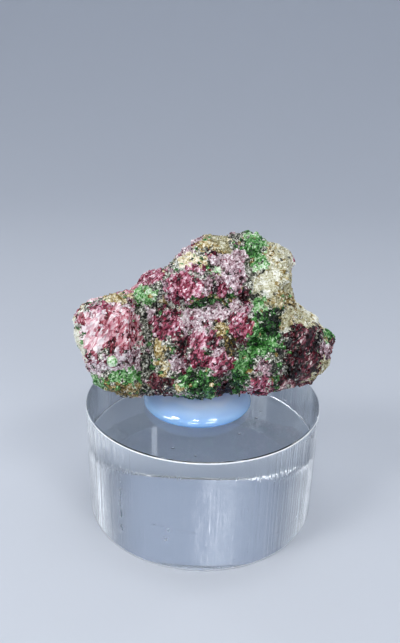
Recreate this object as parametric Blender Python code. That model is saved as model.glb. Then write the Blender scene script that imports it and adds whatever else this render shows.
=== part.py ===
"""A hand specimen of pyrope garnet with chrome diopside, set up on a glass disc and an acrylic block.

Three loose pieces stand on each other: a clear round block, an opal glass disc on top of it, and the
stone, which rests its flat underside on the disc and leans back. Metres, +Z up. The origin is the
centre of the block's underside, and the stone shows its face to a viewer at -Y.
"""
import math
from collections import namedtuple

import bmesh
import bpy
from mathutils import Vector, noise

MM = 0.001

# Driving dimensions, in millimetres.
BLOCK_DIAMETER = 76.2
BLOCK_HEIGHT = 38.1
BLOCK_CHAMFER = 0.5
DISC_DIAMETER = 34.6
DISC_THICKNESS = 6.0
DISC_WIDEST_AT = 1.2
DISC_FOOT_DIAMETER = 31.0
DISC_DOME_FLATNESS = 2.4
DISC_CENTRE = (-1.8, -4.2)
REST_GAP = 0.3
STONE_LEAN = 22.0
STONE_CENTRE = (0.0, -3.3, 67.0)

# How finely each piece is faceted.
BLOCK_SEGMENTS = 96
DISC_SEGMENTS = 56
DISC_DOME_RADII = (1.0, 0.985, 0.94, 0.86, 0.72, 0.52, 0.28)
STONE_RAYS = 144
STONE_RINGS = 22
STONE_RING_CROWDING = 1.3
STONE_VOXEL = 0.85
STONE_TRIANGLES = 7600
WELD_DISTANCE = 0.02

# The stone is drawn in its own plane: u to the viewer's right, v up the leaning face, w out of it.
# Its broken outline, clockwise from the left tip.
STONE_OUTLINE = (
    (-40.2, -1.2), (-37.9, 1.9), (-34.8, 4.5), (-30.6, 5.6), (-26.2, 7.0), (-22.6, 7.6),
    (-19.9, 10.9), (-19.8, 13.0), (-15.2, 14.2), (-12.5, 15.8), (-7.1, 21.2), (-3.6, 24.0),
    (-0.1, 26.2), (4.6, 26.7), (10.5, 26.6), (14.0, 26.9), (17.0, 25.9), (18.8, 23.9),
    (21.2, 23.8), (24.1, 23.2), (26.5, 20.9), (27.3, 17.5), (26.5, 12.0), (27.2, 6.8),
    (32.3, 1.9), (40.4, -4.6), (39.8, -9.0), (39.3, -14.7), (35.4, -17.8), (28.7, -20.3),
    (22.3, -22.2), (19.5, -23.9), (16.4, -23.9), (14.6, -22.7), (5.8, -22.9), (4.0, -24.3),
    (-9.5, -24.4), (-17.7, -23.9), (-23.6, -24.6), (-29.5, -23.6), (-34.3, -20.5),
    (-36.5, -14.9), (-39.9, -7.9), (-40.5, -4.3),
)

# The broken faces that bound the stone in front of and behind its outline. Each is a plane, given by
# its distance from the middle sheet at the stone's centre and by its rise for each millimetre of
# u and of v, and the stone reaches to the nearest one.
Face = namedtuple("Face", "distance slope_u slope_v")

FRONT_FACES = {
    "main face": Face(8.6, 0.00, 0.00),
    "right end, turned to the right": Face(16.5, -0.33, 0.04),
    "crown, leaning back": Face(13.6, 0.04, -0.30),
    "shoulder, turned up and right": Face(16.5, -0.24, -0.20),
    "left end, turned to the left": Face(16.0, 0.22, 0.05),
}

BACK_FACES = {
    "main back face": Face(14.5, 0.03, -0.10),
    "left end": Face(22.5, 0.42, 0.05),
    "right end": Face(24.5, -0.46, 0.06),
    "back of the crown": Face(21.0, -0.05, -0.60),
    "foot": Face(22.0, 0.05, 0.50),
    "upper left": Face(19.0, 0.30, -0.35),
    "lower right": Face(21.0, -0.28, 0.35),
}

# How far in from the outline the front and the back reach their full depth, and how square the
# edge between is: 1 is a straight chamfer, and lower values are blunter.
FRONT_EDGE, BACK_EDGE = 4.5, 7.0
EDGE_BLUNTNESS = 0.6
EDGE_RAGGEDNESS = 0.3

# A crystal or mineral mass that stands out of the face: a polygonal mound with a tilted top.
# Its middle, half sizes and height are in millimetres, and its turn is in degrees. The two
# slopes tip its top towards +u and +v, in millimetres of rise for each millimetre.
Mound = namedtuple("Mound", "u v half_u half_v turn sides height slope_u slope_v")
MOUND_FLANK = 0.42  # the share of its half size in which a mound rises to its top

FRONT_MOUNDS = {
    "rose garnet knob": Mound(-29.0, -5.5, 11.0, 13.5, 12, 7, 6.0, 0.10, 0.05),
    "red garnet at the left tip": Mound(-37.5, -0.5, 4.0, 5.0, 20, 5, 3.0, 0.10, 0.00),
    "upper raspberry garnet": Mound(-4.5, 10.0, 12.5, 6.5, -6, 6, 5.0, -0.04, -0.12),
    "garnet on the upper left": Mound(-16.0, 11.0, 5.5, 3.6, 25, 5, 2.6, 0.10, -0.10),
    "pink garnet under the crown": Mound(9.5, 11.0, 6.5, 7.0, 30, 6, 3.6, -0.05, -0.08),
    "raspberry garnet in the middle": Mound(2.5, -10.0, 9.5, 9.0, 20, 6, 5.5, 0.08, -0.10),
    "dark garnet in the middle": Mound(-10.5, -6.0, 6.5, 9.0, -15, 5, 4.2, 0.12, 0.05),
    "garnet right of the middle": Mound(12.5, -0.8, 5.5, 6.5, 0, 6, 4.6, 0.05, 0.10),
    "emerald diopside": Mound(20.5, 0.0, 5.6, 5.5, 20, 5, 3.4, -0.10, 0.05),
    "band of diopside": Mound(17.8, -13.0, 5.5, 12.0, -35, 7, 3.8, -0.05, 0.05),
    "diopside at the bottom": Mound(-2.5, -19.8, 9.0, 5.0, 4, 6, 4.4, 0.00, 0.15),
    "light green diopside": Mound(-17.8, 6.4, 4.6, 3.4, 10, 5, 3.0, 0.10, 0.05),
    "green mass under the knob": Mound(-27.0, -20.0, 8.5, 3.8, -4, 6, 3.2, 0.05, 0.20),
    "plum garnet": Mound(-14.0, -20.8, 4.4, 4.0, 0, 5, 2.6, 0.00, 0.10),
    "maroon garnet": Mound(30.0, -9.5, 7.5, 10.5, -22, 7, 4.6, -0.28, 0.05),
    "lower red garnet": Mound(19.0, -20.0, 4.6, 4.4, 10, 5, 2.4, 0.00, 0.15),
    "green crystal at the top": Mound(15.2, 22.6, 4.8, 4.0, 0, 7, 2.8, 0.00, -0.15),
    "buff shoulder": Mound(20.5, 12.5, 8.5, 12.0, 6, 6, 3.4, -0.16, -0.06),
    "buff crown": Mound(-0.5, 20.5, 10.0, 5.5, 14, 6, 2.4, 0.05, -0.14),
}

BACK_MOUNDS = {
    "garnet behind the knob": Mound(-27.0, -5.0, 9.0, 8.0, 15, 6, 2.4, 0.08, -0.05),
    "garnet behind the middle": Mound(-4.0, 3.0, 9.0, 8.0, -20, 7, 2.8, 0.04, 0.08),
    "diopside behind": Mound(12.0, -9.0, 8.0, 7.0, 30, 6, 2.2, -0.08, 0.00),
    "garnet behind the crown": Mound(9.0, 16.0, 8.0, 5.5, 10, 5, 1.8, 0.00, -0.10),
    "garnet behind the right end": Mound(27.0, -6.0, 6.5, 7.5, -10, 6, 2.0, -0.12, 0.00),
    "matrix ledge behind": Mound(-12.0, -14.0, 9.0, 5.0, 5, 6, 1.8, 0.00, 0.10),
}

# A seam or valley that runs along a straight line from one (u, v) to another.
Valley = namedtuple("Valley", "start end width depth")

FRONT_VALLEYS = {
    "valley beside the knob": Valley((-19.5, 6.0), (-17.0, -24.0), 3.6, 4.0),
    "seam under the upper ledge": Valley((-14.0, 3.2), (14.5, 6.2), 2.0, 3.0),
    "hollow beside the maroon garnet": Valley((25.0, -5.0), (23.5, -22.0), 2.6, 3.4),
    "seam beside the middle garnet": Valley((-4.5, 1.0), (-5.0, -14.0), 1.3, 1.4),
    "notch under the middle": Valley((6.0, -17.0), (10.0, -23.5), 2.6, 2.8),
    "seam beside the buff shoulder": Valley((10.5, 25.0), (15.5, 5.5), 1.5, 1.6),
}

BACK_VALLEYS = {
    "long seam behind": Valley((-16.0, 12.0), (-13.0, -20.0), 2.4, 1.8),
    "cross seam behind": Valley((-10.0, -6.0), (30.0, 5.0), 2.0, 1.5),
}

# The broken surface: sizes of its fracture planes in millimetres, and how far they stand proud.
FRACTURES = ((8.0, 0.8), (3.8, 0.45))
FRACTURE_TILT = 2.2
TILT_SEED = 37.0


def clear_scene():
    for item in list(bpy.data.objects):
        bpy.data.objects.remove(item, do_unlink=True)


def make_material(name, color, roughness, metallic=0.0, alpha=1.0):
    material = bpy.data.materials.new(name)
    material.use_nodes = True
    shader = material.node_tree.nodes["Principled BSDF"]
    shader.inputs["Base Color"].default_value = (*color, 1.0)
    shader.inputs["Roughness"].default_value = roughness
    shader.inputs["Metallic"].default_value = metallic
    shader.inputs["Alpha"].default_value = alpha
    return material


def add_object(name, bm, material, location):
    mesh = bpy.data.meshes.new(name)
    bm.to_mesh(mesh)
    bm.free()
    mesh.materials.append(material)
    item = bpy.data.objects.new(name, mesh)
    item.location = location
    bpy.context.collection.objects.link(item)
    return item


def apply_modifiers(item):
    """Replace the object's mesh by what its modifiers make of it."""
    graph = bpy.context.evaluated_depsgraph_get()
    finished = bpy.data.meshes.new_from_object(item.evaluated_get(graph))
    item.modifiers.clear()
    item.data = finished


def turn_profile(profile, segments):
    """Turn a profile of (radius, height) points, from the foot's rim to the top's, about its axis."""
    bm = bmesh.new()
    rings = []
    for radius, height in profile:
        angles = [2 * math.pi * i / segments for i in range(segments)]
        rings.append([bm.verts.new((radius * math.cos(a) * MM, radius * math.sin(a) * MM, height * MM))
                      for a in angles])
    for low, high in zip(rings, rings[1:]):
        for i in range(segments):
            j = (i + 1) % segments
            bm.faces.new((low[i], low[j], high[j], high[i]))
    bm.faces.new(rings[0][::-1])
    bm.faces.new(rings[-1])
    return bm


def make_acrylic_block():
    clear_acrylic = make_material("clear_acrylic", (0.93, 0.95, 0.97), 0.04, alpha=0.3)
    radius = BLOCK_DIAMETER / 2
    profile = [(radius - BLOCK_CHAMFER, 0), (radius, BLOCK_CHAMFER),
               (radius, BLOCK_HEIGHT - BLOCK_CHAMFER), (radius - BLOCK_CHAMFER, BLOCK_HEIGHT)]
    block = add_object("acrylic_block", turn_profile(profile, BLOCK_SEGMENTS), clear_acrylic, (0, 0, 0))
    block.data.shade_smooth()
    block.data.set_sharp_from_angle(angle=math.radians(35))
    return block


def make_opal_disc():
    """A pressed glass pebble: a flat foot, its widest place low down, and a flattened dome above."""
    opal_glass = make_material("opal_glass", (0.66, 0.74, 0.88), 0.12)
    radius, dome_height = DISC_DIAMETER / 2, DISC_THICKNESS - DISC_WIDEST_AT
    profile = [(DISC_FOOT_DIAMETER / 2, 0), (0.97 * radius, 0.3 * DISC_WIDEST_AT)]
    for share in DISC_DOME_RADII:
        rise = math.sqrt(1 - share ** DISC_DOME_FLATNESS)
        profile.append((share * radius, DISC_WIDEST_AT + dome_height * rise))
    profile.append((0.1 * radius, DISC_THICKNESS))
    location = (DISC_CENTRE[0] * MM, DISC_CENTRE[1] * MM, (BLOCK_HEIGHT + REST_GAP) * MM)
    disc = add_object("opal_disc", turn_profile(profile, DISC_SEGMENTS), opal_glass, location)
    disc.data.shade_smooth()
    disc.data.set_sharp_from_angle(angle=math.radians(50))
    return disc


def smooth_step(x):
    x = min(max(x, 0.0), 1.0)
    return x * x * (3 - 2 * x)


def mound_height(mound, u, v):
    """A flat-faced mound: flanks that rise from a polygonal foot to a tilted top."""
    turn = math.radians(mound.turn)
    du, dv = u - mound.u, v - mound.v
    across = (du * math.cos(turn) + dv * math.sin(turn)) / mound.half_u
    along = (dv * math.cos(turn) - du * math.sin(turn)) / mound.half_v
    step = 2 * math.pi / mound.sides
    reach = max(across * math.cos(i * step) + along * math.sin(i * step) for i in range(mound.sides))
    if reach >= 1:
        return 0.0
    flank = min((1 - reach) / MOUND_FLANK, 1.0)
    return flank * (mound.height + mound.slope_u * du + mound.slope_v * dv)


def valley_depth(valley, u, v):
    start, end, here = Vector(valley.start), Vector(valley.end), Vector((u, v))
    along = (here - start).dot(end - start) / (end - start).length_squared
    nearest = start.lerp(end, min(max(along, 0.0), 1.0))
    return valley.depth * smooth_step(1 - (here - nearest).length / valley.width)


def side_depth(u, v, faces, mounds, valleys):
    """How far the front or the back stands off the stone's middle sheet, well inside the outline."""
    nearest = min(face.distance + face.slope_u * u + face.slope_v * v for face in faces.values())
    highest = max(mound_height(mound, u, v) for mound in mounds.values())
    deepest = max(valley_depth(valley, u, v) for valley in valleys.values())
    return nearest + highest - deepest


def middle_sheet(u, v):
    """The sheet that holds the outline: it leans back at the crown and at the right end."""
    return -0.12 * max(v, 0.0) - 0.04 * u


def outline_reach(angle):
    """Distance from the middle of the outline to its edge, along a ray."""
    ray = Vector((math.cos(angle), math.sin(angle)))
    reach = 0.0
    for a, b in zip(STONE_OUTLINE, STONE_OUTLINE[1:] + STONE_OUTLINE[:1]):
        a, edge = Vector(a), Vector(b) - Vector(a)
        spread = ray.cross(edge)
        if abs(spread) < 1e-9:
            continue
        along_ray = a.cross(edge) / spread
        along_edge = a.cross(ray) / spread
        if 0 <= along_edge <= 1:
            reach = max(reach, along_ray)
    return reach


def stone_point(angle, reach, fraction, front):
    """A point of the rough form, at a fraction of the way from the middle to the outline."""
    u = math.cos(angle) * reach * fraction
    v = math.sin(angle) * reach * fraction
    inside = (1 - fraction) * reach
    ragged = 1 + EDGE_RAGGEDNESS * math.sin(5 * angle + 1)
    if front:
        depth = side_depth(u, v, FRONT_FACES, FRONT_MOUNDS, FRONT_VALLEYS)
        w = depth * min(inside / (FRONT_EDGE * ragged), 1.0) ** EDGE_BLUNTNESS
    else:
        depth = side_depth(u, v, BACK_FACES, BACK_MOUNDS, BACK_VALLEYS)
        w = -depth * min(inside / (BACK_EDGE * ragged), 1.0) ** EDGE_BLUNTNESS
    return Vector((u, v, w + middle_sheet(u, v))) * MM


def rough_stone():
    """Two lofted sheets, front and back, that share the outline as their rim."""
    bm = bmesh.new()
    angles = [2 * math.pi * i / STONE_RAYS for i in range(STONE_RAYS)]
    reaches = [outline_reach(angle) for angle in angles]
    rim = [bm.verts.new(stone_point(a, r, 1.0, True)) for a, r in zip(angles, reaches)]
    for front in (True, False):
        outer = rim
        for ring in range(1, STONE_RINGS):
            fraction = 1 - (ring / STONE_RINGS) ** STONE_RING_CROWDING
            inner = [bm.verts.new(stone_point(a, r, fraction, front)) for a, r in zip(angles, reaches)]
            for i in range(STONE_RAYS):
                j = (i + 1) % STONE_RAYS
                bm.faces.new((outer[i], outer[j], inner[j], inner[i]))
            outer = inner
        centre = bm.verts.new(stone_point(0.0, 1.0, 0.0, front))
        for i in range(STONE_RAYS):
            bm.faces.new((outer[i], outer[(i + 1) % STONE_RAYS], centre))
    bmesh.ops.recalc_face_normals(bm, faces=bm.faces)
    return bm


def fracture_relief(point):
    """Height of the fracture planes at a point, in millimetres: each cell is one tilted plane."""
    height = 0.0
    for size, proud in FRACTURES:
        seed = noise.voronoi(point / size)[1][0]
        tilt = noise.cell_vector(seed * TILT_SEED) - Vector((0.5, 0.5, 0.5))
        height += proud * FRACTURE_TILT * tilt.dot(point / size - seed) + proud * tilt.x
    return height


def break_surface(item):
    """Push each point of the remeshed stone in or out to its fracture plane."""
    mesh = item.data
    normals = [vertex.normal.copy() for vertex in mesh.vertices]
    for vertex, normal in zip(mesh.vertices, normals):
        vertex.co += normal * fracture_relief(vertex.co / MM) * MM


def drop_loose_flakes(bm):
    """Delete the flakes that a cut leaves beside the main piece."""
    unseen = set(bm.verts)
    pieces = []
    while unseen:
        piece = set()
        reached = {unseen.pop()}
        while reached:
            vertex = reached.pop()
            piece.add(vertex)
            neighbours = {edge.other_vert(vertex) for edge in vertex.link_edges}
            reached |= neighbours & unseen
            unseen -= neighbours
        pieces.append(piece)
    pieces.sort(key=len)
    for piece in pieces[:-1]:
        bmesh.ops.delete(bm, geom=list(piece), context="VERTS")


def cut_flat_underside(item):
    """Cut the stone level where it rests, and close the cut."""
    lean = math.radians(STONE_LEAN)
    world_up = Vector((0, math.cos(lean), math.sin(lean)))
    rest_height = BLOCK_HEIGHT + REST_GAP + DISC_THICKNESS + REST_GAP
    bm = bmesh.new()
    bm.from_mesh(item.data)
    bmesh.ops.bisect_plane(bm, geom=bm.verts[:] + bm.edges[:] + bm.faces[:],
                           plane_co=world_up * (rest_height - STONE_CENTRE[2]) * MM,
                           plane_no=world_up, clear_inner=True)
    drop_loose_flakes(bm)
    bmesh.ops.remove_doubles(bm, verts=bm.verts[:], dist=WELD_DISTANCE * MM)
    rim = [edge for edge in bm.edges if edge.is_boundary]
    bmesh.ops.holes_fill(bm, edges=rim, sides=0)
    bmesh.ops.triangulate(bm, faces=bm.faces[:])
    bmesh.ops.recalc_face_normals(bm, faces=bm.faces)
    bm.to_mesh(item.data)
    bm.free()


def make_stone():
    garnet_rock = make_material("garnet_rock", (0.42, 0.20, 0.24), 0.45)
    location = [part * MM for part in STONE_CENTRE]
    stone = add_object("stone", rough_stone(), garnet_rock, location)
    stone.rotation_euler.x = math.radians(90 - STONE_LEAN)
    remesh = stone.modifiers.new("even_mesh", "REMESH")
    remesh.mode = "VOXEL"
    remesh.voxel_size = STONE_VOXEL * MM
    apply_modifiers(stone)
    break_surface(stone)
    decimate = stone.modifiers.new("facets", "DECIMATE")
    decimate.ratio = STONE_TRIANGLES / (2 * len(stone.data.polygons))
    apply_modifiers(stone)
    cut_flat_underside(stone)
    return stone


clear_scene()
make_acrylic_block()
make_opal_disc()
make_stone()
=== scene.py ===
import math

import bmesh
import bpy
import numpy as np
from mathutils import Matrix, Vector, noise


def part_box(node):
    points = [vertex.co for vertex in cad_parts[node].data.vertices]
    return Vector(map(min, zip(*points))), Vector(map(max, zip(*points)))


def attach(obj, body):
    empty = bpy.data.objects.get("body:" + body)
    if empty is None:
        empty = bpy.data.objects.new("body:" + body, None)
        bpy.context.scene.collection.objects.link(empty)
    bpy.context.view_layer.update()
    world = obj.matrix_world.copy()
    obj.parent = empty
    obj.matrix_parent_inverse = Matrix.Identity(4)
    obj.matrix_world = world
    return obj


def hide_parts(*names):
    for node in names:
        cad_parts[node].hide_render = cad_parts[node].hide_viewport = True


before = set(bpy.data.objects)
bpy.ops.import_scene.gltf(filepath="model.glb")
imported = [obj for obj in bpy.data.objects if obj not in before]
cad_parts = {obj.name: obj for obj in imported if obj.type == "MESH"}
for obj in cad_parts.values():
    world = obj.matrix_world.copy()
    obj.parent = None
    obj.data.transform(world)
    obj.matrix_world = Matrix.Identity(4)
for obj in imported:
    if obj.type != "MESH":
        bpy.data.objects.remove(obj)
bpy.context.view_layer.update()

# Camera. It stands in front of the block and a little above it and looks 22 degrees down, rolled
# by a degree and a half, as a hand-held telephone would.
MM = 0.001
IMAGE_HEIGHT = 643
FOCAL_PIXELS = 616.5
SENSOR = 36.0
CAMERA_PLACE = Vector((-1.56, -179.64, 137.08)) * MM
CAMERA_DOWN, CAMERA_ROLL = math.radians(22.03), math.radians(1.43)

camera_data = bpy.data.cameras.new("camera")
camera_data.lens = FOCAL_PIXELS / IMAGE_HEIGHT * SENSOR
camera_data.sensor_width = SENSOR
camera_data.clip_start = 0.01
camera = bpy.data.objects.new("camera", camera_data)
look_down = Matrix.Rotation(math.radians(90) - CAMERA_DOWN, 4, "X")
roll = Matrix.Rotation(CAMERA_ROLL, 4, "Z")
camera.matrix_world = Matrix.Translation(CAMERA_PLACE) @ look_down @ roll
bpy.context.collection.objects.link(camera)
bpy.context.scene.camera = camera
bpy.context.scene.view_settings.view_transform = "Standard"

# Display block. Cast acrylic rod, 76 mm across, cut to length, its ends and side polished clear and
# its rims just broken with a small bevel, which stays matt. The bevel's white is partly a painted
# highlight: it draws the bright line along the rims. Drawing leaves fine lines up the side.
RIM_BEVEL, RIM_ROUNDING = 0.5 * MM, 0.3
BLOCK_STEPS = 256
FILE_MARK_SIZE = 1.5 * MM

# The lines in the side: their spacing and depth, the width of their bands, how faint they are
# between the bands, and how much slower they change up the side than round it. Faces whose normal
# points further up than the level have none.
SIDE_LINE_SPACING, LINE_DEPTH = 1.1 * MM, 0.8 * MM
SIDE_BAND_WIDTH, BAND_STARTS, BAND_FULL, BETWEEN_BANDS = 14 * MM, 0.4, 0.65, 0.25
LINE_STRETCH = 0.012
SIDE_LEVEL = 0.5

# Wear: soft scuffs, small nicks that are matt inside, each in a cell of this size where its draw is
# high enough, and one broken scratch down the left of the front.
SCUFF_SIZE, SCUFF_STOPS = 3.0 * MM, ((0.6, 0.0), (0.75, 0.12))
NICK_SPACING, NICK_DRAW = 4.5 * MM, 0.78
NICK_EDGE, NICK_CORE, NICK_MATT = 0.13, 0.07, 0.7
PIT_DEPTH = -0.25 * MM
SCRATCH_ANGLE, SCRATCH_MIDDLE, SCRATCH_HALF_LENGTH = math.radians(-128.7), 17 * MM, 9.5 * MM
SCRATCH_HALF_WIDTH, SCRATCH_WANDER, SCRATCH_BENDS = 0.22 * MM, 3.0 * MM, 5.0 * MM
SCRATCH_STARTS, SCRATCH_FULL, SCRATCH_MATT = 0.42, 0.55, 0.6


def linear(color):
    """A linear RGBA colour from an sRGB hex string."""
    parts = [int(color[i:i + 2], 16) / 255 for i in (1, 3, 5)]
    return [c / 12.92 if c <= 0.04045 else ((c + 0.055) / 1.055) ** 2.4 for c in parts] + [1.0]


def add_node(tree, kind, inputs=None, stops=None, **settings):
    """Add one shader node. Inputs are values, or sockets to link from; stops fill a colour ramp."""
    made = tree.nodes.new(kind)
    for name, value in settings.items():
        setattr(made, name, value)
    for name, value in (inputs or {}).items():
        if isinstance(value, bpy.types.NodeSocket):
            tree.links.new(value, made.inputs[name])
        else:
            made.inputs[name].default_value = value
    if stops:
        ramp = made.color_ramp
        while len(ramp.elements) < len(stops):
            ramp.elements.new(1.0)
        for element, (place, color) in zip(ramp.elements, stops):
            element.position = place
            element.color = linear(color) if isinstance(color, str) else (color, color, color, 1)
    return made


def new_material(name):
    """An empty material: its tree, with the surface socket still to link."""
    material = bpy.data.materials.new(name)
    material.use_nodes = True
    material.node_tree.nodes.clear()
    return material, material.node_tree


def finish_material(tree, shader):
    add_node(tree, "ShaderNodeOutputMaterial", {"Surface": shader.outputs["BSDF"]})


def mesh_object(name, bm, material, sharp_angle):
    mesh = bpy.data.meshes.new(name)
    bm.to_mesh(mesh)
    bm.free()
    mesh.materials.append(material)
    mesh.shade_smooth()
    mesh.set_sharp_from_angle(angle=math.radians(sharp_angle))
    item = bpy.data.objects.new(name, mesh)
    bpy.context.collection.objects.link(item)
    return item


def turn_profile(profile, centre, steps):
    """Spin a profile of (radius, height) points, from the lower axis to the upper axis."""
    bm = bmesh.new()
    points = [bm.verts.new((radius, 0, height)) for radius, height in profile]
    edges = [bm.edges.new(pair) for pair in zip(points, points[1:])]
    bmesh.ops.spin(bm, geom=points + edges, cent=(0, 0, 0), axis=(0, 0, 1), angle=2 * math.pi,
                   steps=steps, use_merge=True)
    bmesh.ops.remove_doubles(bm, verts=bm.verts[:], dist=1e-6)
    bmesh.ops.recalc_face_normals(bm, faces=bm.faces[:])
    bmesh.ops.translate(bm, verts=bm.verts[:], vec=centre)
    return bm


def clear_acrylic():
    """Cast acrylic, water clear with a hard gloss. Lines run up the side, in bands, and bend what
    is seen through them. Light scuffs, nicks and a scratch take the gloss off."""
    material, tree = new_material("clear_acrylic")
    place = add_node(tree, "ShaderNodeTexCoord").outputs["Object"]
    split = add_node(tree, "ShaderNodeSeparateXYZ", {"Vector": place})
    around = add_node(tree, "ShaderNodeMath", {
        0: split.outputs["Y"], 1: split.outputs["X"]}, operation="ARCTAN2")
    along_rim = add_node(tree, "ShaderNodeMath", {
        0: around.outputs[0], 1: block_radius}, operation="MULTIPLY")
    slow_height = add_node(tree, "ShaderNodeMath", {
        0: split.outputs["Z"], 1: LINE_STRETCH}, operation="MULTIPLY")
    line_place = add_node(tree, "ShaderNodeCombineXYZ", {
        "X": along_rim.outputs[0], "Z": slow_height.outputs[0]}).outputs[0]
    lines = add_node(tree, "ShaderNodeTexNoise", {
        "Vector": line_place, "Scale": 1 / SIDE_LINE_SPACING, "Detail": 3.0})
    bands = add_node(tree, "ShaderNodeTexNoise", {
        "Vector": line_place, "Scale": 1 / SIDE_BAND_WIDTH, "Detail": 1.0})
    band_depth = add_node(tree, "ShaderNodeMapRange", {
        "Value": bands.outputs["Fac"], "From Min": BAND_STARTS, "From Max": BAND_FULL,
        "To Min": BETWEEN_BANDS, "To Max": 1.0})
    normal = add_node(tree, "ShaderNodeTexCoord").outputs["Normal"]
    upright = add_node(tree, "ShaderNodeSeparateXYZ", {"Vector": normal}).outputs["Z"]
    level = add_node(tree, "ShaderNodeMath", {0: upright}, operation="ABSOLUTE")
    side = add_node(tree, "ShaderNodeMath", {
        0: level.outputs[0], 1: SIDE_LEVEL}, operation="LESS_THAN")
    side_depth = add_node(tree, "ShaderNodeMath", {
        0: band_depth.outputs[0], 1: side.outputs[0]}, operation="MULTIPLY")
    line_height = add_node(tree, "ShaderNodeMath", {
        0: lines.outputs["Fac"], 1: side_depth.outputs[0]}, operation="MULTIPLY")
    scuffs = add_node(tree, "ShaderNodeTexNoise", {
        "Vector": place, "Scale": 1 / SCUFF_SIZE, "Detail": 5.0})
    haze = add_node(tree, "ShaderNodeValToRGB", {"Fac": scuffs.outputs["Fac"]}, stops=SCUFF_STOPS)
    cells = add_node(tree, "ShaderNodeTexVoronoi", {"Vector": place, "Scale": 1 / NICK_SPACING})
    chosen = add_node(tree, "ShaderNodeMath", {
        0: cells.outputs["Color"], 1: NICK_DRAW}, operation="GREATER_THAN")
    nick = add_node(tree, "ShaderNodeMapRange", {
        "Value": cells.outputs["Distance"], "From Min": NICK_EDGE, "From Max": NICK_CORE,
        "To Max": NICK_MATT})
    nicks = add_node(tree, "ShaderNodeMath", {
        0: chosen.outputs[0], 1: nick.outputs["Result"]}, operation="MULTIPLY")
    upward = add_node(tree, "ShaderNodeCombineXYZ", {"Z": split.outputs["Z"]})
    sway = add_node(tree, "ShaderNodeTexNoise", {
        "Vector": upward.outputs[0], "Scale": 1 / SCRATCH_BENDS, "Detail": 3.0})
    swayed = add_node(tree, "ShaderNodeMath", {
        0: sway.outputs["Fac"], 1: SCRATCH_WANDER, 2: along_rim.outputs[0]},
        operation="MULTIPLY_ADD")
    scratch_at = SCRATCH_ANGLE * block_radius + SCRATCH_WANDER / 2
    on_line = add_node(tree, "ShaderNodeMath", {
        0: swayed.outputs[0], 1: scratch_at, 2: SCRATCH_HALF_WIDTH}, operation="COMPARE")
    in_length = add_node(tree, "ShaderNodeMath", {
        0: split.outputs["Z"], 1: SCRATCH_MIDDLE, 2: SCRATCH_HALF_LENGTH}, operation="COMPARE")
    scratch = add_node(tree, "ShaderNodeMath", {
        0: on_line.outputs[0], 1: in_length.outputs[0]}, operation="MULTIPLY")
    broken = add_node(tree, "ShaderNodeMapRange", {
        "Value": scuffs.outputs["Fac"], "From Min": SCRATCH_STARTS, "From Max": SCRATCH_FULL,
        "To Max": SCRATCH_MATT})
    pits = add_node(tree, "ShaderNodeMath", {
        0: scratch.outputs[0], 1: broken.outputs["Result"], 2: nicks.outputs[0]},
        operation="MULTIPLY_ADD")
    rough = add_node(tree, "ShaderNodeMath", {0: haze.outputs["Color"], 1: pits.outputs[0]})
    height = add_node(tree, "ShaderNodeMath", {
        0: pits.outputs[0], 1: PIT_DEPTH / LINE_DEPTH, 2: line_height.outputs[0]},
        operation="MULTIPLY_ADD")
    waves = add_node(tree, "ShaderNodeBump", {
        "Height": height.outputs[0], "Strength": 0.7, "Distance": LINE_DEPTH})
    shader = add_node(tree, "ShaderNodeBsdfPrincipled", {
        "Base Color": linear("#F0F6FC"), "Roughness": rough.outputs[0], "IOR": 1.49,
        "Transmission Weight": 1.0, "Normal": waves.outputs["Normal"]})
    finish_material(tree, shader)
    return material


def matt_rim_and_painted_highlight():
    """The same acrylic where a file has left it matt: it scatters light and looks white. The white
    is partly a painted highlight along the rims.
    """
    material, tree = new_material("matt_rim_and_painted_highlight")
    place = add_node(tree, "ShaderNodeTexCoord").outputs["Object"]
    file_marks = add_node(tree, "ShaderNodeTexNoise", {
        "Vector": place, "Scale": 1 / FILE_MARK_SIZE, "Detail": 2.0}).outputs["Fac"]
    cut = add_node(tree, "ShaderNodeMapRange", {"Value": file_marks, "To Min": 0.25, "To Max": 0.7})
    # White, partly a painted highlight along the rims.
    white = add_node(tree, "ShaderNodeValToRGB", {"Fac": file_marks},
                     stops=((0.3, "#E6EEF3"), (0.6, "#FFFFFF")))
    shader = add_node(tree, "ShaderNodeBsdfPrincipled", {
        "Base Color": white.outputs["Color"], "Roughness": cut.outputs["Result"], "IOR": 1.49,
        "Coat Weight": 0.5, "Coat Roughness": 0.2})
    finish_material(tree, shader)
    return material


block_low, block_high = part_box("acrylic_block")
block_radius = (block_high.x - block_low.x) / 2
block_height = block_high.z - block_low.z
rim_inset = RIM_ROUNDING * RIM_BEVEL
block_profile = [
    (0, 0), (block_radius - RIM_BEVEL, 0), (block_radius - rim_inset, rim_inset),
    (block_radius, RIM_BEVEL), (block_radius, block_height - RIM_BEVEL),
    (block_radius - rim_inset, block_height - rim_inset),
    (block_radius - RIM_BEVEL, block_height), (0, block_height),
]
block = mesh_object("display_block", turn_profile(block_profile, (0, 0, 0), BLOCK_STEPS),
                    clear_acrylic(), sharp_angle=20)
block.data.materials.append(matt_rim_and_painted_highlight())
for face in block.data.polygons:  # only the bevels' faces lean
    face.material_index = 0.1 < abs(face.normal.z) < 0.9
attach(block, "root")
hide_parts("acrylic_block")

# Glass disc. A pressed, fire-polished pebble of opal glass, flat below and domed above. It is
# milky: fine droplets in it scatter blue light back and let the warmer light through.
DISC_STEPS, DOME_STEPS = 160, 28
DISC_FOOT_RADIUS, DISC_WIDEST_AT = 15.5 * MM, 1.2 * MM
DISC_FOOT_ROUNDING = ((0.955, 0.2), (0.985, 0.5))  # shares of the radius and of the widest height
DISC_DOME_FLATNESS = 2.4
CLOUD_SIZE, CLOUD_SHARE = 14.3 * MM, 0.35
RESTING_GAP = 0.05 * MM


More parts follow.
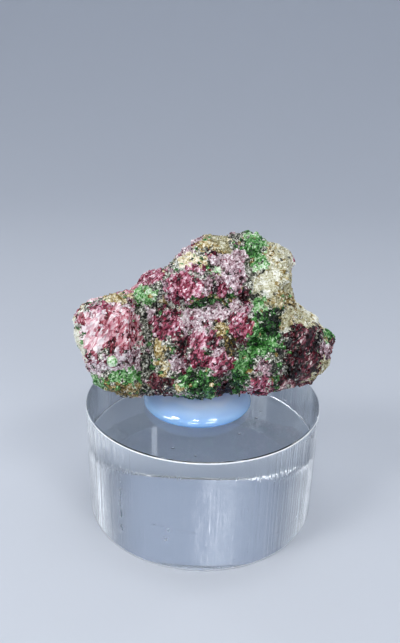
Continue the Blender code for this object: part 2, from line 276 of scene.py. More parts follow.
def opal_glass(low, high):
    """Opal glass, milky blue in soft clouds. It turns paler and greyer towards the flat top:
    painted light where the stone shades it, and a painted reflection of the grey stone above.
    """
    material, tree = new_material("opal_glass")
    place = add_node(tree, "ShaderNodeTexCoord").outputs["Object"]
    split = add_node(tree, "ShaderNodeSeparateXYZ", {"Vector": place})
    # Painted light and reflection: the colour pales and greys with height.
    rise = add_node(tree, "ShaderNodeMapRange", {
        "Value": split.outputs["Z"], "From Min": low, "From Max": high})
    clouds = add_node(tree, "ShaderNodeTexNoise", {
        "Vector": place, "Scale": 1 / CLOUD_SIZE, "Detail": 2.0})
    drift = add_node(tree, "ShaderNodeMath", {
        0: clouds.outputs["Fac"], 1: CLOUD_SHARE, 2: rise.outputs["Result"]},
        operation="MULTIPLY_ADD")
    milk_and_painted_top = add_node(tree, "ShaderNodeValToRGB", {"Fac": drift.outputs[0]},
                    stops=((0.2, "#6498FF"), (0.6, "#8CB0FF"), (0.9, "#AAC2FF"), (1.0, "#BCCCFF")))
    shader = add_node(tree, "ShaderNodeBsdfPrincipled", {
        "Base Color": milk_and_painted_top.outputs["Color"], "Roughness": 0.05, "IOR": 1.5,
        "Subsurface Weight": 1.0, "Subsurface Radius": (1.0, 1.05, 1.15), "Subsurface Scale": 0.012,
        "Coat Weight": 1.0, "Coat Roughness": 0.03, "Coat IOR": 1.75})
    finish_material(tree, shader)
    return material


disc_low, disc_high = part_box("opal_disc")
disc_centre = (disc_low + disc_high) / 2
disc_radius = (disc_high.x - disc_low.x) / 2
disc_bottom, disc_top = block_high.z + RESTING_GAP, disc_high.z
dome_height = disc_top - disc_bottom - DISC_WIDEST_AT
disc_profile = [(0, 0), (DISC_FOOT_RADIUS, 0)]
disc_profile += [(share * disc_radius, part * DISC_WIDEST_AT) for share, part in DISC_FOOT_ROUNDING]
for i in range(DOME_STEPS + 1):
    share = math.cos(math.radians(90) * i / DOME_STEPS)
    rise = math.sqrt(1 - share ** DISC_DOME_FLATNESS)
    disc_profile.append((share * disc_radius, DISC_WIDEST_AT + dome_height * rise))
disc_foot = (disc_centre.x, disc_centre.y, disc_bottom)
disc = mesh_object("glass_disc", turn_profile(disc_profile, disc_foot, DISC_STEPS),
                   opal_glass(disc_bottom, disc_top), sharp_angle=60)
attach(disc, "root")
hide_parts("opal_disc")

# Stone. Garnet peridotite from the mantle, broken by hand: pyrope crystals of 10 to 20 mm, rose,
# raspberry and maroon, some bruised pale, with chrome diopside between them, in olivine weathered
# to a buff crust, and dark speckled seams where the crystals reacted. It grew as one piece.
STONE_CENTRE = Vector((0.0, -3.3, 67.0))
STONE_LEAN = math.radians(22)
FINE_VOXEL, EASE_ROUNDS = 0.42 * MM, 4
SEAT_MARGIN = 0.1 * MM

# Each mineral, sizes in millimetres. Its grain is how far one crystal chip reaches, and stretch how
# many times longer the chips are along the stone's splinter direction. Drift is how much the tone
# changes slowly across a crystal, and scatter how much it differs from chip to chip. Lean is how
# far the chips' facets turn away from the surface. Proud is how far it stands out of the stone, and
# scars are the sizes and depths of its fractures: hollow and shell-like in garnet, rounded and
# sugary, so negative, in the others. Strays are the minerals that turn up in it, each with its
# share of the chips and its tone.
DRIFT_SIZE = 3.0
MINERALS = {
    "rose_pyrope": dict(
        grain=0.9, stretch=2.7, drift=0.45, scatter=0.5, lean=0.9, proud=0.25,
        scars=((3.4, 0.4), (1.3, 0.28)), gloss=0.07, ior=1.73,
        strays=((0.03, "bruised_pyrope", 0.7),),
        tones=("#230205", "#5E0F1C", "#983747", "#C37F8B", "#E2B6BE", "#FCF0F1")),
    "raspberry_pyrope": dict(
        grain=0.9, stretch=1.8, drift=0.7, scatter=0.5, lean=0.9, proud=0.25,
        scars=((3.4, 0.4), (1.3, 0.28)), gloss=0.07, ior=1.73,
        strays=((0.05, "bruised_pyrope", 0.6),),
        tones=("#1A0207", "#520C1F", "#8C2A44", "#B66B80", "#DCAABA", "#FCEEF2")),
    "maroon_pyrope": dict(
        grain=1.0, stretch=1.7, drift=0.6, scatter=0.5, lean=0.9, proud=0.2,
        scars=((3.8, 0.4), (1.5, 0.28)), gloss=0.07, ior=1.73,
        strays=((0.05, "speckled_seam", 0.25),),
        tones=("#040001", "#1C0307", "#460B17", "#702A38", "#A07378", "#E6D2D0")),
    "bruised_pyrope": dict(
        grain=0.7, stretch=1.4, drift=0.4, scatter=0.5, lean=0.8, proud=0.15,
        scars=((2.4, 0.3), (1.0, 0.24)), gloss=0.2, ior=1.73,
        strays=((0.16, "raspberry_pyrope", 0.28), (0.04, "speckled_seam", 0.3)),
        tones=("#1C0E13", "#543239", "#926F78", "#BA9FA8", "#E0CCD2", "#FCF7F8")),
    "chrome_diopside": dict(
        grain=0.7, stretch=1.3, drift=0.5, scatter=0.42, lean=0.6, proud=0.1,
        scars=((2.2, -0.3), (1.0, -0.2)), gloss=0.18, ior=1.68,
        strays=((0.04, "speckled_seam", 0.5), (0.03, "golden_olivine", 0.4)),
        tones=("#010801", "#0B2F08", "#266822", "#5A9A4E", "#9CC88E", "#E4F0DC")),
    "buff_olivine": dict(
        grain=0.7, stretch=1.0, drift=0.35, scatter=0.4, lean=0.5, proud=0.0,
        scars=((2.6, -0.2), (1.0, -0.16)), gloss=0.4, ior=1.65,
        strays=((0.16, "golden_olivine", 0.58), (0.04, "speckled_seam", 0.6)),
        tones=("#2C2612", "#665D3A", "#988F68", "#B6B290", "#D1CFB6", "#F5F5EA")),
    "speckled_seam": dict(
        grain=0.7, stretch=1.2, drift=0.4, scatter=0.72, lean=0.7, proud=-0.35,
        scars=((1.6, -0.26), (0.9, -0.18)), gloss=0.25, ior=1.6,
        strays=((0.08, "chrome_diopside", 0.4), (0.06, "bruised_pyrope", 0.5),
                (0.05, "golden_olivine", 0.5)),
        tones=("#050605", "#1E201A", "#4E5045", "#868777", "#BBBBAD", "#F2F2EA")),
    "golden_olivine": dict(
        grain=0.8, stretch=1.2, drift=0.3, scatter=0.5, lean=0.6, proud=0.1,
        scars=((2.0, -0.25), (1.0, -0.16)), gloss=0.2, ior=1.65,
        strays=((0.08, "chrome_diopside", 0.5), (0.08, "speckled_seam", 0.5)),
        tones=("#1A1302", "#4B3B0E", "#846D32", "#B29E68", "#D7CAA4", "#F8F3DE")),
}
ROSE, RASPBERRY, MAROON, BRUISED, DIOPSIDE, BUFF, SEAM, GOLDEN = range(len(MINERALS))

# The face's map of minerals, in millimetres in the stone's own plane: u to the right, v up the
# leaning face. Each patch is a mineral, its tone from 0 dark to 1 pale, its middle, its half sizes
# and its turn in degrees. Where no patch reaches, the speckled seam shows.
# Some of these tones are painted light and shade, as marked at their groups.
PATCHES = (
    # the knob at the left end; its palest patch, the left face at tone 0.9, is partly a painted
    # highlight
    (ROSE, 0.9, -31.7, -4.5, 2.9, 7.4, -5), (ROSE, 0.56, -24.1, -3.7, 5.3, 7.8, 0),
    (ROSE, 0.08, -26.2, -8.3, 1.3, 2.3, 0), (ROSE, 0.1, -22.7, -5.5, 1.9, 1.4, 20),
    (ROSE, 0.1, -20.9, -3.3, 1.1, 1.5, 0), (ROSE, 0.12, -30.4, -11.3, 1.3, 1.0, 0),
    (BRUISED, 0.62, -22.4, -12.6, 4.0, 3.2, 0), (BRUISED, 0.68, -31.6, -14.0, 2.6, 3.0, 0),
    (BRUISED, 0.6, -26.6, -14.0, 2.4, 2.4, 0), (ROSE, 0.7, -26.5, 0.8, 3.0, 2.4, 30),
    (ROSE, 0.42, -35.6, -1.4, 2.0, 2.2, 0), (BUFF, 0.9, -35.9, -9.5, 1.3, 5.5, 20),
    (BUFF, 0.95, -36.0, 1.9, 1.3, 0.7, 35), (RASPBERRY, 0.42, -30.7, 1.8, 2.9, 1.7, 15),
    (GOLDEN, 0.7, -26.0, 4.9, 3.4, 1.3, 8), (BRUISED, 0.62, -22.9, 3.4, 2.3, 1.7, 0),
    (DIOPSIDE, 0.6, -23.0, -17.4, 4.2, 1.8, 0),
    (GOLDEN, 0.34, -26.0, -20.6, 4.2, 1.6, -8), (GOLDEN, 0.5, -21.5, -20.8, 1.9, 1.4, 0),
    (DIOPSIDE, 0.6, -31.5, -19.3, 2.1, 1.9, 0),
    # the valley beside it
    (SEAM, 0.56, -19.1, 0.1, 1.5, 4.3, 0), (SEAM, 0.36, -17.6, -16.3, 1.7, 4.8, 0),
    (DIOPSIDE, 0.72, -17.8, 6.1, 3.4, 2.2, 10), (GOLDEN, 0.62, -12.9, -12.1, 1.4, 5.6, 16),
    # the upper garnets; the small spot of tone 0.95 is a painted glint
    (RASPBERRY, 0.52, -15.0, 11.7, 3.5, 1.7, 20), (BRUISED, 0.5, -10.4, 9.5, 2.2, 1.5, 0),
    (SEAM, 0.6, -11.4, 16.8, 1.8, 1.4, 30), (RASPBERRY, 0.62, -6.6, 8.2, 5.8, 4.0, -8),
    (RASPBERRY, 0.12, -2.6, 9.4, 2.6, 1.3, -15), (RASPBERRY, 0.95, -4.8, 6.8, 1.3, 0.8, 0),
    (RASPBERRY, 0.38, -8.3, 5.7, 2.8, 1.7, 0), (BRUISED, 0.42, 2.6, 10.4, 3.6, 2.4, 0),
    (RASPBERRY, 0.16, 3.6, 8.2, 3.0, 1.8, 0), (BRUISED, 0.62, 8.2, 12.4, 3.6, 4.0, 0),
    (RASPBERRY, 0.58, -3.4, 14.3, 3.8, 1.4, 0), (BRUISED, 0.55, 7.5, 8.7, 3.0, 2.1, 0),
    # the buff crown and what sits in it
    (GOLDEN, 0.86, -4.4, 17.4, 4.2, 2.2, 20), (GOLDEN, 0.6, -0.2, 21.9, 3.0, 1.8, 5),
    (BUFF, 0.42, 4.0, 22.6, 3.6, 2.4, 0),
    (BRUISED, 0.66, -6.0, 21.4, 3.4, 1.6, 40), (BRUISED, 0.6, 3.4, 16.6, 3.0, 1.8, 0),
    (GOLDEN, 0.42, 3.2, 20.6, 1.6, 1.0, 0), (SEAM, 0.62, -1.6, 19.6, 1.6, 1.0, 0),
    (RASPBERRY, 0.1, 1.8, 18.7, 2.1, 1.3, 0), (SEAM, 0.55, 8.4, 23.4, 2.4, 2.7, 0),
    (BRUISED, 0.58, 9.0, 18.2, 3.0, 2.2, 0), (DIOPSIDE, 0.86, 2.5, 14.5, 1.1, 0.9, 0),
    (DIOPSIDE, 0.6, 15.1, 24.0, 2.8, 2.0, 0), (DIOPSIDE, 0.36, 13.7, 20.2, 2.7, 2.1, 0),
    (DIOPSIDE, 0.72, 15.9, 16.8, 2.6, 2.2, 0), (SEAM, 0.62, 13.0, 12.0, 1.2, 4.6, 0),
    # the buff shoulder, and the tan slope down to the right tip
    (BUFF, 0.7, 21.6, 18.1, 4.2, 5.2, 0), (BUFF, 0.74, 19.0, 10.8, 4.8, 4.4, 0),
    (BUFF, 0.6, 23.0, 10.6, 2.2, 3.4, 0),
    (BUFF, 0.92, 27.0, 17.6, 1.0, 5.0, 0), (BUFF, 0.99, 16.5, 9.8, 1.2, 3.2, 12),
    (GOLDEN, 0.52, 22.6, 7.0, 3.4, 1.8, -20), (BUFF, 0.45, 19.6, 5.4, 2.6, 1.7, 0),
    (BUFF, 0.56, 27.6, 1.4, 6.0, 2.5, -42), (BUFF, 0.42, 23.1, 0.3, 2.3, 3.0, 0),
    (GOLDEN, 0.3, 26.6, 4.0, 2.2, 0.9, -42),
    (BUFF, 0.85, 32.9, 1.4, 5.0, 0.9, -42), (BUFF, 0.9, 25.2, -2.4, 1.1, 0.8, 0),
    # the diopside right of the middle; its darkest patch, at tone 0.04, is painted shade in a hole
    (DIOPSIDE, 0.04, 18.9, -0.6, 3.4, 3.6, 0), (DIOPSIDE, 0.42, 15.3, -2.7, 2.1, 3.0, 0),
    (DIOPSIDE, 0.68, 15.2, 3.8, 1.7, 2.3, 0), (DIOPSIDE, 0.38, 16.8, -7.5, 5.9, 2.8, 20),
    (DIOPSIDE, 0.42, 11.5, -13.4, 2.8, 4.3, -20), (DIOPSIDE, 0.22, 10.2, -17.9, 2.3, 2.5, 0),
    # the garnets of the middle
    (BRUISED, 0.5, 9.9, 2.9, 2.6, 2.6, 0), (ROSE, 0.2, 12.2, -2.4, 2.0, 2.4, 0),
    (RASPBERRY, 0.34, 9.6, -2.0, 3.0, 4.6, 0), (MAROON, 0.3, 11.1, 6.7, 1.3, 2.5, -20),
    (GOLDEN, 0.5, 4.8, -3.0, 1.6, 2.2, 0), (GOLDEN, 0.06, 7.0, -6.9, 1.9, 3.7, 14),
    (BRUISED, 0.6, -2.6, -1.0, 4.2, 3.8, 0), (BRUISED, 0.58, 3.1, 1.4, 3.2, 2.7, 0),
    (BRUISED, 0.68, -16.9, 1.3, 1.7, 2.3, 0), (RASPBERRY, 0.3, -11.3, -2.2, 3.6, 4.8, -25),
    (MAROON, 0.3, -7.0, -7.8, 2.1, 3.4, 0), (RASPBERRY, 0.42, -1.6, -6.6, 3.6, 2.6, 0),
    (RASPBERRY, 0.12, 2.2, -6.2, 2.0, 2.0, 0), (RASPBERRY, 0.2, -1.4, -11.6, 2.8, 3.0, 0),
    (RASPBERRY, 0.34, 4.6, -13.0, 3.7, 3.1, 0), (BRUISED, 0.66, -7.5, -13.8, 2.9, 2.5, 0),
    (BRUISED, 0.7, 3.4, -9.7, 1.4, 0.9, 0), (DIOPSIDE, 0.3, -0.3, 5.2, 6.1, 1.0, 4),
    (DIOPSIDE, 0.35, 7.0, 6.9, 2.3, 1.5, 0),
    # the lower edge
    (MAROON, 0.42, -12.6, -19.6, 3.0, 2.4, 0), (DIOPSIDE, 0.25, -2.2, -18.9, 5.9, 2.8, 0),
    (DIOPSIDE, 0.4, 1.4, -20.5, 2.2, 1.6, 0), (DIOPSIDE, 0.55, -6.9, -20.3, 1.9, 1.3, 0),
    (MAROON, 0.2, 5.6, -20.7, 2.3, 1.6, 0), (RASPBERRY, 0.36, 16.0, -19.8, 3.0, 2.5, 0),
    (BRUISED, 0.4, 17.3, -15.1, 2.5, 2.5, 0), (DIOPSIDE, 0.3, 21.3, -18.0, 1.1, 1.9, 0),
    # the maroon garnet and the right tip; the seam patches at tones 0.04 and 0.22 are painted shade
    #     in the recess left of the garnet, and its patch at tone 0.6 is a painted highlight
    (SEAM, 0.04, 20.9, -9.1, 1.9, 1.5, 0), (SEAM, 0.22, 21.1, -13.0, 2.4, 3.2, 0),
    (MAROON, 0.55, 24.8, -19.1, 2.0, 2.0, 0), (MAROON, 0.22, 28.6, -5.2, 5.1, 5.3, -15),
    (MAROON, 0.6, 29.6, -3.1, 1.5, 1.7, 0), (MAROON, 0.35, 31.1, -14.1, 4.2, 4.0, 0),
    (MAROON, 0.05, 26.0, -13.4, 2.3, 3.8, 0), (DIOPSIDE, 0.5, 37.7, -3.9, 1.8, 2.4, -30),
    (MAROON, 0.5, 38.8, -8.1, 1.2, 1.8, 0), (BRUISED, 0.48, 36.4, -9.5, 2.0, 2.6, 0),
    (BUFF, 0.6, 36.7, -13.6, 2.2, 2.6, 0), (BUFF, 0.5, 33.6, -17.1, 3.3, 1.2, 20),
)

# A patch reaches this many half sizes, and further where the face turns away below this depth. Some
# chips at its rim are seam.
PATCH_REACH = 1.15
OUTLINE_DEPTH, OUTLINE_REACH = 6.0, 2.2
RIM_STARTS_AT, RIM_SHARE, RIM_TONE = 0.95, 0.22, 0.62
SEAM_TONE = 0.5

# A chip takes its patch from a point this far off its middle, along edges that wander by this size
# and reach. The front of the face is bent by the second pair.
CHIP_SIZE, CHIP_STRAY = 1.2, 0.9
EDGE_WANDER, FACE_WANDER = (3.0, 1.1), (6.0, 1.5)
FACING_GAIN = 2.5

# How far the tone moves with the drift, with each chip and with each finer speck. Most specks are
# kept near the middle tone, and pale patches are calmer; the few palest specks, at each mineral's
# palest tones, are painted glints. Facets lean by the same share at both sizes, hollows get painted
# shade and raised chips are painted paler, and a scar's floor tilts by this many times its depth.
DRIFT_LOW, DRIFT_HIGH = 0.3, 0.7
DRIFT_REACH, CHIP_REACH, SPECK_GLINT_REACH = 0.5, 0.6, 1.7
SPECK_SHARE = 1.8
SPECK_GLINT_STOPS = ((0.0, 0.0), (0.16, 0.32), (0.84, 0.68), (1.0, 1.0))
CALM_FROM, CALM_SHARE = 0.65, 0.5
FACET_SHARE, GLOSS_SPREAD = 0.6, 0.25
# Painted shade: hollows darker and raised chips paler, by their relief.
HOLLOW_SHADE, HOLLOW_LIMIT = 0.25, 0.6
SCAR_TILT = 3.2

# The sides and the back carry the same minerals, in grains of this size, each grain one draw from
# this list of running shares and tones.
BACK_GRAIN, BACK_STARTS_AT, BACK_TONE_SPREAD = 9.0, -4.0, 0.4
BACK_SHARES = (
    (0.16, ROSE, 0.5), (0.34, RASPBERRY, 0.45), (0.46, MAROON, 0.4), (0.56, BRUISED, 0.5),
    (0.74, DIOPSIDE, 0.45), (0.94, BUFF, 0.6), (1.01, SEAM, 0.5),
)

# The chips lie along one direction of the face, this far from level. One round pale-green diopside
# stands out of the knob like a bead.
SPLINTER_ANGLE = math.radians(62)
BEAD_PLACE, BEAD_RADIUS, BEAD_RISE, BEAD_TONE = (-26.1, -13.0), 1.6, 1.3, 0.8

# The seed of the smooth random offsets, so that the stone comes out the same each time, and a
# factor that sends each grain's middle to a cell of its own, for its random draw.
WANDER_SEED = 13
CELL_FACTOR = 41.0
noise.seed_set(WANDER_SEED)


def stone_plane(points):
    """World points in metres as (u, v, w) in the stone's own plane, in millimetres."""
    away = points / MM - np.array(STONE_CENTRE)
    u = away[:, 0]
    v = away[:, 1] * math.sin(STONE_LEAN) + away[:, 2] * math.cos(STONE_LEAN)
    w = -away[:, 1] * math.cos(STONE_LEAN) + away[:, 2] * math.sin(STONE_LEAN)
    return np.stack([u, v, w], axis=1)


def wander(places, size, reach):
    """Smooth random offsets of up to about reach, changing over size, for each place."""
    return np.array([noise.noise_vector(Vector(place) / size) for place in places]) * reach


def drawn_out(places, stretch):
    """Places turned to the splinter direction and shortened along it, so their grains are long."""
    cos, sin = math.cos(SPLINTER_ANGLE), math.sin(SPLINTER_ANGLE)
    along = (places[:, 0] * cos + places[:, 1] * sin) / stretch
    across = places[:, 1] * cos - places[:, 0] * sin
    return np.stack([along, across, places[:, 2]], axis=1)


def grains(places, size):
    """Each place's grain: its random vector, its middle, and how many grain sizes off that is."""
    random, middle, away = [], [], []
    for place in places:
        distances, middles = noise.voronoi(Vector(place) / size)
        random.append(noise.cell_vector(middles[0] * CELL_FACTOR))
        middle.append(middles[0] * size)
        away.append(distances[0])
    return np.array(random), np.array(middle), np.array(away)


def mineral_map(places):
    """Mineral and tone at each (u, v, w) place. They are looked up once for each crystal chip, a
    little off its middle, so that neighbours mingle along ragged edges."""
    random, middle, _ = grains(places, CHIP_SIZE)
    warped = middle + (random - 0.5) * CHIP_STRAY + wander(middle, *EDGE_WANDER)
    mineral = np.full(len(places), SEAM)
    tone = np.full(len(places), SEAM_TONE)
    nearest = np.where(warped[:, 2] < OUTLINE_DEPTH, OUTLINE_REACH, PATCH_REACH)
    for kind, patch_tone, u, v, half_u, half_v, turn in PATCHES:
        cos, sin = math.cos(math.radians(turn)), math.sin(math.radians(turn))
        du, dv = warped[:, 0] - u, warped[:, 1] - v
        across = (du * cos + dv * sin) / half_u
        along = (dv * cos - du * sin) / half_v
        distance = np.hypot(across, along)
        inside = distance < nearest
        nearest = np.where(inside, distance, nearest)
        mineral = np.where(inside, kind, mineral)
        tone = np.where(inside, patch_tone, tone)
    behind = warped[:, 2] < BACK_STARTS_AT
    draw, _, _ = grains(warped[behind], BACK_GRAIN)
    back_mineral = np.full(len(draw), SEAM)
    back_tone = np.full(len(draw), SEAM_TONE)
    for share, kind, kind_tone in reversed(BACK_SHARES):
        drawn = draw[:, 0] < share
        back_mineral = np.where(drawn, kind, back_mineral)
        back_tone = np.where(drawn, kind_tone + BACK_TONE_SPREAD * (draw[:, 1] - 0.5), back_tone)
    mineral[behind] = back_mineral
    tone[behind] = back_tone
    rim = (warped[:, 2] > OUTLINE_DEPTH) & (nearest > RIM_STARTS_AT) & (random[:, 1] < RIM_SHARE)
    mineral[rim], tone[rim] = SEAM, RIM_TONE
    host = mineral.copy()
    for kind, entry in enumerate(MINERALS.values()):
        low = 0.0
        for share, stray, stray_tone in entry["strays"]:
            drawn = (host == kind) & (random[:, 2] >= low) & (random[:, 2] < low + share)
            mineral[drawn], tone[drawn] = list(MINERALS).index(stray), stray_tone
            low += share
    bead = bead_share(places) > 0
    mineral[bead], tone[bead] = DIOPSIDE, BEAD_TONE
    return mineral, tone


def bead_share(places):
    """1 in the middle of the round bead, 0 at its edge and beyond."""
    off = np.hypot(places[:, 0] - BEAD_PLACE[0], places[:, 1] - BEAD_PLACE[1]) / BEAD_RADIUS
    return np.sqrt(np.clip(1 - off ** 2, 0, 1)) * (places[:, 2] > 0)


def fine_stone():
    """A fine, evenly meshed copy of the stone's solid, with its facets' edges eased."""
    bm = bmesh.new()
    bm.from_mesh(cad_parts["stone"].data)
    bmesh.ops.remove_doubles(bm, verts=bm.verts[:], dist=1e-6)
    mesh = bpy.data.meshes.new("garnet_specimen")
    bm.to_mesh(mesh)
    bm.free()
    item = bpy.data.objects.new("garnet_specimen", mesh)
    bpy.context.collection.objects.link(item)
    remesh = item.modifiers.new("fine", "REMESH")
    remesh.mode = "VOXEL"
    remesh.voxel_size = FINE_VOXEL
    ease = item.modifiers.new("ease", "SMOOTH")
    ease.iterations = EASE_ROUNDS
    graph = bpy.context.evaluated_depsgraph_get()
    item.data = bpy.data.meshes.new_from_object(item.evaluated_get(graph))
    item.modifiers.clear()
    return item


def mineral_material(name, facts):
    """One mineral. Its tone is the patch's, drifting across the crystal and changed chip by chip.
    The chips are broken faces that lean all ways, each with a lustre of its own, so some glint.
    Broken and weathered, they shine less than a cut stone of the same IOR."""
    material, tree = new_material(name)
    patch = add_node(tree, "ShaderNodeAttribute", attribute_name="tone")
    place = add_node(tree, "ShaderNodeTexCoord").outputs["Object"]
    turned = add_node(tree, "ShaderNodeMapping", {"Vector": place, "Rotation": SPLINTER_TURN})
    drawn = add_node(tree, "ShaderNodeMapping", {
        "Vector": turned.outputs[0], "Scale": (1 / facts["stretch"], 1, 1)}).outputs[0]
    chip_scale, swing = 1 / (facts["grain"] * MM), facts["scatter"]
    slow = add_node(tree, "ShaderNodeTexNoise", {
        "Vector": drawn, "Scale": 1 / (DRIFT_SIZE * MM), "Detail": 2.0})
    chips = add_node(tree, "ShaderNodeTexVoronoi", {"Vector": drawn, "Scale": chip_scale})
    specks = add_node(tree, "ShaderNodeTexVoronoi", {
        "Vector": drawn, "Scale": SPECK_SHARE * chip_scale})
    # Speck tones: random grain tone, with the few palest ones painted glints.
    specks_and_glints = add_node(tree, "ShaderNodeValToRGB", {"Fac": specks.outputs["Color"]},
                      stops=SPECK_GLINT_STOPS)
    tone = patch.outputs["Fac"]
    calm = add_node(tree, "ShaderNodeMapRange", {
        "Value": tone, "From Min": CALM_FROM, "To Min": 1.0, "To Max": CALM_SHARE})
    changes = ((slow.outputs["Fac"], DRIFT_LOW, DRIFT_HIGH, DRIFT_REACH * facts["drift"]),
               (chips.outputs["Color"], 0, 1, CHIP_REACH * swing),
               (specks_and_glints.outputs["Color"], 0, 1, SPECK_GLINT_REACH * swing))
    for source, low, high, reach in changes:
        change = add_node(tree, "ShaderNodeMapRange", {
            "Value": source, "From Min": low, "From Max": high, "To Min": -reach, "To Max": reach})
        tone = add_node(tree, "ShaderNodeMath", {
            0: change.outputs["Result"], 1: calm.outputs["Result"], 2: tone},
            operation="MULTIPLY_ADD").outputs[0]
    stops = [(i / (len(facts["tones"]) - 1), color) for i, color in enumerate(facts["tones"])]
    color = add_node(tree, "ShaderNodeValToRGB", {"Fac": tone}, stops=stops)
    rough = add_node(tree, "ShaderNodeMapRange", {
        "Value": chips.outputs["Color"], "To Min": facts["gloss"],
        "To Max": facts["gloss"] + GLOSS_SPREAD})
    normal = add_node(tree, "ShaderNodeNewGeometry").outputs["Normal"]
    for cells in (chips, specks):
        turn = facts["lean"] * FACET_SHARE
        aside = add_node(tree, "ShaderNodeVectorMath", {
            0: cells.outputs["Color"], 1: (0.5, 0.5, 0.5)}, operation="SUBTRACT")
        normal = add_node(tree, "ShaderNodeVectorMath", {
            0: aside.outputs[0], 1: (turn, turn, turn), 2: normal},
            operation="MULTIPLY_ADD").outputs[0]
    facets = add_node(tree, "ShaderNodeVectorMath", {0: normal}, operation="NORMALIZE")
    shader = add_node(tree, "ShaderNodeBsdfPrincipled", {
        "Base Color": color.outputs["Color"], "Roughness": rough.outputs["Result"],
        "IOR": facts["ior"], "Specular IOR Level": 0.24, "Normal": facets.outputs[0]})
    finish_material(tree, shader)
    return material


specimen = fine_stone()
mesh = specimen.data
count = len(mesh.vertices)
points = np.zeros(count * 3)
mesh.vertices.foreach_get("co", points)
points = points.reshape(-1, 3)
normals = np.zeros(count * 3)
mesh.vertices.foreach_get("normal", normals)
normals = normals.reshape(-1, 3)
out_of_plane = np.array((0, -math.cos(STONE_LEAN), math.sin(STONE_LEAN)))
up_plane = np.array((0, math.sin(STONE_LEAN), math.cos(STONE_LEAN)))
places = stone_plane(points)
facing = np.clip(FACING_GAIN * (normals @ out_of_plane) - 1, 0, 1)[:, None]
bend = wander(places, *FACE_WANDER) * facing
points = points + (bend[:, :1] * np.array((1, 0, 0)) + bend[:, 1:2] * up_plane) * MM
places = stone_plane(points)
mineral, _ = mineral_map(places)
facts = list(MINERALS.values())
height = np.array([entry["proud"] for entry in facts])[mineral]
relief = np.zeros(count)
for kind, entry in enumerate(facts):
    here = mineral == kind
    long_places = drawn_out(places[here], entry["stretch"])
    for size, depth in entry["scars"]:
        random, middle, away = grains(long_places, size)
        tilt = ((random - 0.5) * (long_places - middle)).sum(1) / size
        relief[here] += abs(depth) * (SCAR_TILT * tilt + random[:, 0] - 0.5) + depth * (away - 0.5)
bead = bead_share(places)
height = np.where(bead > 0, BEAD_RISE * bead, height + relief)
points = points + normals * height[:, None] * MM
seat_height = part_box("stone")[0].z
on_seat = points[:, 2] < seat_height + SEAT_MARGIN
points[on_seat, 2] = disc_top + RESTING_GAP
mesh.vertices.foreach_set("co", points.ravel())
mesh.update()

centres = np.zeros(len(mesh.polygons) * 3)
mesh.polygons.foreach_get("center", centres)
corners = np.zeros(len(mesh.polygons) * 4, dtype=np.int32)
mesh.polygons.foreach_get("vertices", corners)
mineral, tone = mineral_map(stone_plane(centres.reshape(-1, 3)))
face_relief = relief[corners.reshape(-1, 4)].mean(1)
# Painted shade and light: the tone darkens in each face's hollows and pales on its raised chips.
tone = tone + HOLLOW_SHADE * np.clip(face_relief, -HOLLOW_LIMIT, HOLLOW_LIMIT)
attribute = mesh.attributes.new("tone", "FLOAT", "FACE")
attribute.data.foreach_set("value", tone)
splinters = Vector((math.cos(SPLINTER_ANGLE), *(math.sin(SPLINTER_ANGLE) * up_plane)[1:]))
SPLINTER_TURN = Matrix((splinters, Vector(out_of_plane).cross(splinters), out_of_plane)).to_euler()
mesh.materials.clear()
for name, entry in MINERALS.items():
    mesh.materials.append(mineral_material(name, entry))
mesh.polygons.foreach_set("material_index", mineral.astype(np.int32))
mesh.polygons.foreach_set("use_smooth", np.zeros(len(mesh.polygons), dtype=bool))
mesh.update()
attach(specimen, "root")
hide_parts("stone")

# Floor and light. A matt, pale paper floor that curves up into a wall all round, three soft lamps
# above the front, one overhead, three low ones that fill the shade and glint in the glass, a panel
# and strips behind that the clear block shows, and one lamp on the wall.
FLOOR_RADIUS, SWEEP_RADIUS, WALL_HEIGHT = 0.5, 0.9, 2.4
SWEEP_STEPS, ROUND_STEPS = 16, 96
AIR_GAP = 0.2 * MM


def pale_paper():
    """Matt background paper, a cool pale grey."""
    material, tree = new_material("pale_paper")
    shader = add_node(tree, "ShaderNodeBsdfPrincipled", {
        "Base Color": linear("#C9CED6"), "Roughness": 0.8})
    finish_material(tree, shader)
    return material


sweep_angles = [math.radians(90) * i / SWEEP_STEPS for i in range(SWEEP_STEPS + 1)]
sweep_profile = [(0, 0)] + [(FLOOR_RADIUS + SWEEP_RADIUS * math.sin(angle),
                             SWEEP_RADIUS * (1 - math.cos(angle))) for angle in sweep_angles]
sweep_profile.append((FLOOR_RADIUS + SWEEP_RADIUS, WALL_HEIGHT))
floor = mesh_object("floor", turn_profile(sweep_profile, (0, 0, -AIR_GAP), ROUND_STEPS),
                    pale_paper(), sharp_angle=180)


def add_lamp(name, place, aim, size, power, color):
    """A rectangular soft lamp. Its size is its width and height in metres, its power in watts."""
    lamp = bpy.data.lights.new(name, "AREA")
    lamp.shape = "RECTANGLE"
    lamp.size, lamp.size_y = size
    lamp.energy = power
    lamp.color = linear(color)[:3]
    item = bpy.data.objects.new(name, lamp)
    item.location = place
    item.rotation_euler = (Vector(aim) - Vector(place)).to_track_quat("-Z", "Y").to_euler()
    item.visible_camera = False
    bpy.context.collection.objects.link(item)
    return item


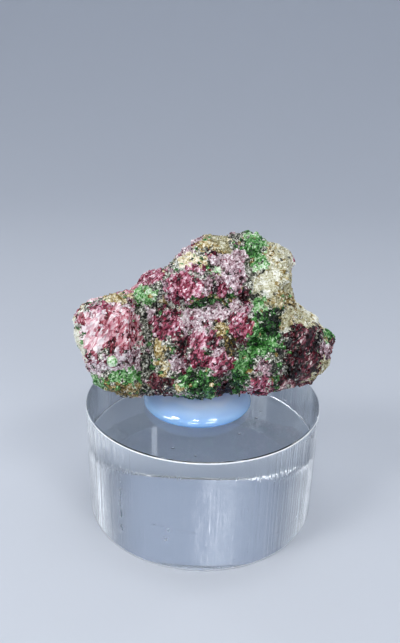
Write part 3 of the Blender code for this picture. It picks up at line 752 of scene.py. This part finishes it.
STONE_MIDDLE = (0, 0, 0.065)
add_lamp("key_left", (-0.45, -0.32, 0.64), STONE_MIDDLE, (0.18, 0.18), 1.3, "#FFFFFF")
add_lamp("key_middle", (-0.02, -0.46, 0.72), STONE_MIDDLE, (0.10, 0.10), 0.95, "#FFFFFF")
add_lamp("key_right", (0.34, -0.40, 0.68), STONE_MIDDLE, (0.18, 0.12), 0.95, "#FFFFFF")
add_lamp("low_left", (-0.39, -0.21, 0.25), STONE_MIDDLE, (0.16, 0.12), 0.40, "#FFFFFF")
add_lamp("low_middle", (-0.063, -0.446, 0.235), STONE_MIDDLE, (0.16, 0.12), 0.34, "#FFFFFF")
add_lamp("low_right", (0.211, -0.397, 0.235), STONE_MIDDLE, (0.16, 0.12), 0.34, "#FFFFFF")
add_lamp("top", (0.0, 0.06, 0.90), STONE_MIDDLE, (0.30, 0.30), 0.9, "#FFFFFF")
add_lamp("back_panel", (0.0, 0.95, 0.80), STONE_MIDDLE, (1.1, 0.8), 0.42, "#C8DAFF")
add_lamp("back_strip", (-0.075, 0.75, 0.68), STONE_MIDDLE, (0.010, 0.34), 0.03, "#FFFFFF")
add_lamp("left_strip", (-0.62, 0.42, 0.55), STONE_MIDDLE, (0.10, 0.40), 0.4, "#FFFFFF")
add_lamp("right_strip", (0.62, 0.42, 0.55), STONE_MIDDLE, (0.10, 0.40), 0.4, "#FFFFFF")
add_lamp("backdrop", (0, 0.3, 1.9), (0, 1.4, 0.6), (1.2, 1.2), 5.0, "#F2F6FF")

# The stone shades its disc, so a soft lamp low in front is flagged to reach the disc alone. It
# makes no glint of its own there.
disc_fill = add_lamp("disc_fill", (0, -0.42, 0.17), disc_centre, (0.5, 0.2), 1.1, "#FFFFFF")
disc_fill.visible_glossy = False
flagged = bpy.data.collections.new("lit_by_disc_fill")
flagged.objects.link(disc)
disc_fill.light_linking.receiver_collection = flagged

world = bpy.data.worlds.new("soft_room")
world.use_nodes = True
world.node_tree.nodes["Background"].inputs["Color"].default_value = linear("#C9D2DE")
world.node_tree.nodes["Background"].inputs["Strength"].default_value = 0.42
bpy.context.scene.world = world
